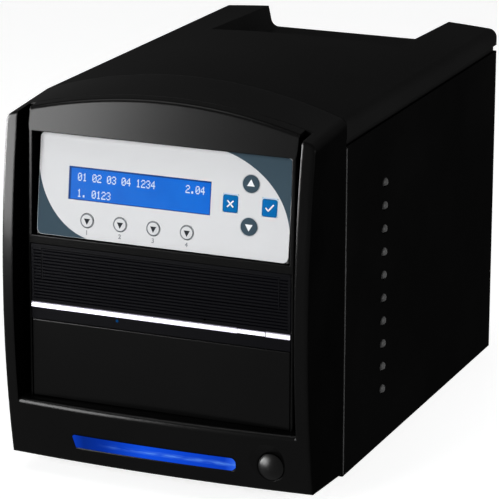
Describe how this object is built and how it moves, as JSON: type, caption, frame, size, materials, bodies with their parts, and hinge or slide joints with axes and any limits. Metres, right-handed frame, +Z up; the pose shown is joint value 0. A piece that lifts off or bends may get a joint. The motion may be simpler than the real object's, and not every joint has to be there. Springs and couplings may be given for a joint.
{
  "type": "disc duplicator tower",
  "caption": "Free-standing disc duplicator: steel case, bowed bezel, leaning keypad and display, sliding disc tray, covered spare bay, light bar, power button and scooped lid.",
  "frame": {"origin": "on the floor under the middle of the machine's outer box", "axes": "+Z up, the front with the tray faces -Y, +X to the right seen from the front"},
  "size_m": [0.174, 0.3013, 0.2168],
  "materials": {
    "black_paint": "satin powder coat",
    "zinc_steel": "zinc-plated sheet",
    "bright_wire": "bright plated wire",
    "bezel_plastic": "moulded, satin",
    "lid_plastic": "moulded, fine texture",
    "fascia_plastic": "ribbed, semi-gloss",
    "bright_trim": "bright trim",
    "pale_film": "printed satin film",
    "slate_key": "printed satin",
    "blue_key": "printed satin",
    "pale_key": "printed satin",
    "clear_window": "clear",
    "lcd_blue": "lit blue display",
    "board_green": "solder mask",
    "switch_black": "moulded",
    "blue_light": "lit blue lens",
    "gloss_black": "gloss",
    "loader_plastic": "moulded",
    "gear_plastic": "natural acetal",
    "disk_metal": "cast",
    "fan_plastic": "moulded",
    "foot_rubber": "soft rubber"
  },
  "bodies": {
    "case": {"base_pan": "black_paint", "front_plate": "zinc_steel", "rear_panel": "black_paint", "top_plate": "zinc_steel", "left_side_panel": "black_paint", "right_side_panel": "black_paint", "feet": "foot_rubber", "case_screws": "zinc_steel", "lid": "lid_plastic", "front_bezel": "bezel_plastic", "centre_frame": "bezel_plastic", "keypad_film": "pale_film", "lcd_window": "clear_window", "keypad_carrier": "switch_black", "lcd_glass": "lcd_blue", "lcd_board": "board_green", "key_switches": "switch_black", "key_board": "board_green", "light_bar": "blue_light", "front_board": "board_green", "drive_bay": "zinc_steel", "bay_cover": "bezel_plastic", "disk_bracket": "zinc_steel", "hard_drive": "disk_metal", "drive_fascia": "fascia_plastic", "bright_strip": "bright_trim", "drive_lamp": "blue_light", "drive_shell": "zinc_steel", "loader_frame": "loader_plastic", "sled_rods": "zinc_steel", "spindle_motor": "zinc_steel", "loading_motor": "zinc_steel", "controller_board": "board_green", "fan_frame": "fan_plastic", "fan_guard": "bright_wire", "fan_screws": "bright_wire", "supply_case": "zinc_steel", "supply_fan_frame": "fan_plastic", "mains_inlet": "switch_black", "inlet_pins": "bright_wire", "rocker_frame": "switch_black", "data_cable": "switch_black"},
    "tray": {"disc_tray": "loader_plastic", "tray_door": "fascia_plastic"},
    "tray_gear": {"tray_gear": "gear_plastic"},
    "turntable": {"turntable": "gear_plastic"},
    "sled": {"laser_sled": "loader_plastic"},
    "eject_button": {"eject_button": "bright_trim"},
    "power_button": {"power_button": "gloss_black"},
    "mains_rocker": {"mains_rocker": "switch_black"},
    "case_fan": {"fan_rotor": "fan_plastic"},
    "supply_fan": {"supply_fan_rotor": "fan_plastic"},
    "up_key": {"up_key": "slate_key"},
    "down_key": {"down_key": "slate_key"},
    "cancel_key": {"cancel_key": "blue_key"},
    "enter_key": {"enter_key": "blue_key"},
    "row_key_1": {"row_key_1": "pale_key"},
    "row_key_2": {"row_key_2": "pale_key"},
    "row_key_3": {"row_key_3": "pale_key"},
    "row_key_4": {"row_key_4": "pale_key"}
  },
  "joints": [
    {"name": "tray_slide", "type": "slide", "parent": "case", "child": "tray", "axis": [0, -1, 0], "range_m": [0, 0.125]},
    {"name": "tray_gear_spin", "type": "hinge", "parent": "case", "child": "tray_gear", "pos_m": [-0.042, -0.11764, 0.1097], "axis": [0, 0, 1], "range_deg": [0, 598]},
    {"name": "turntable_spin", "type": "hinge", "parent": "case", "child": "turntable", "pos_m": [0, -0.07464, 0.1179], "axis": [0, 0, 1], "continuous": true},
    {"name": "sled_slide", "type": "slide", "parent": "case", "child": "sled", "axis": [0, 1, 0], "range_m": [0, 0.034]},
    {"name": "eject_press", "type": "slide", "parent": "case", "child": "eject_button", "axis": [0, 1, 0], "range_m": [0, 0.0008], "stiffness_N_per_m": 300},
    {"name": "power_press", "type": "slide", "parent": "case", "child": "power_button", "axis": [0, 1, 0], "range_m": [0, 0.0025], "stiffness_N_per_m": 250},
    {"name": "up_press", "type": "slide", "parent": "case", "child": "up_key", "axis": [0, 0.9917, -0.1288], "range_m": [0, 0.0004], "stiffness_N_per_m": 600},
    {"name": "down_press", "type": "slide", "parent": "case", "child": "down_key", "axis": [0, 0.9917, -0.1288], "range_m": [0, 0.0004], "stiffness_N_per_m": 600},
    {"name": "cancel_press", "type": "slide", "parent": "case", "child": "cancel_key", "axis": [0, 0.9917, -0.1288], "range_m": [0, 0.0004], "stiffness_N_per_m": 600},
    {"name": "enter_press", "type": "slide", "parent": "case", "child": "enter_key", "axis": [0, 0.9917, -0.1288], "range_m": [0, 0.0004], "stiffness_N_per_m": 600},
    {"name": "row_key_1_press", "type": "slide", "parent": "case", "child": "row_key_1", "axis": [0, 0.9917, -0.1288], "range_m": [0, 0.0004], "stiffness_N_per_m": 600},
    {"name": "row_key_2_press", "type": "slide", "parent": "case", "child": "row_key_2", "axis": [0, 0.9917, -0.1288], "range_m": [0, 0.0004], "stiffness_N_per_m": 600},
    {"name": "row_key_3_press", "type": "slide", "parent": "case", "child": "row_key_3", "axis": [0, 0.9917, -0.1288], "range_m": [0, 0.0004], "stiffness_N_per_m": 600},
    {"name": "row_key_4_press", "type": "slide", "parent": "case", "child": "row_key_4", "axis": [0, 0.9917, -0.1288], "range_m": [0, 0.0004], "stiffness_N_per_m": 600},
    {"name": "rocker_tip", "type": "hinge", "parent": "case", "child": "mains_rocker", "pos_m": [0.042, 0.14236, 0.052], "axis": [1, 0, 0], "range_deg": [-20, 0]},
    {"name": "case_fan_spin", "type": "hinge", "parent": "case", "child": "case_fan", "pos_m": [0, 0.13536, 0.125], "axis": [0, 1, 0], "continuous": true},
    {"name": "supply_fan_spin", "type": "hinge", "parent": "case", "child": "supply_fan", "pos_m": [-0.024, 0.13536, 0.0385], "axis": [0, 1, 0], "continuous": true}
  ],
  "couplings": [
    {"joint": "tray_gear_spin", "follows": "tray_slide", "rad_per_m": 83.333}
  ]
}
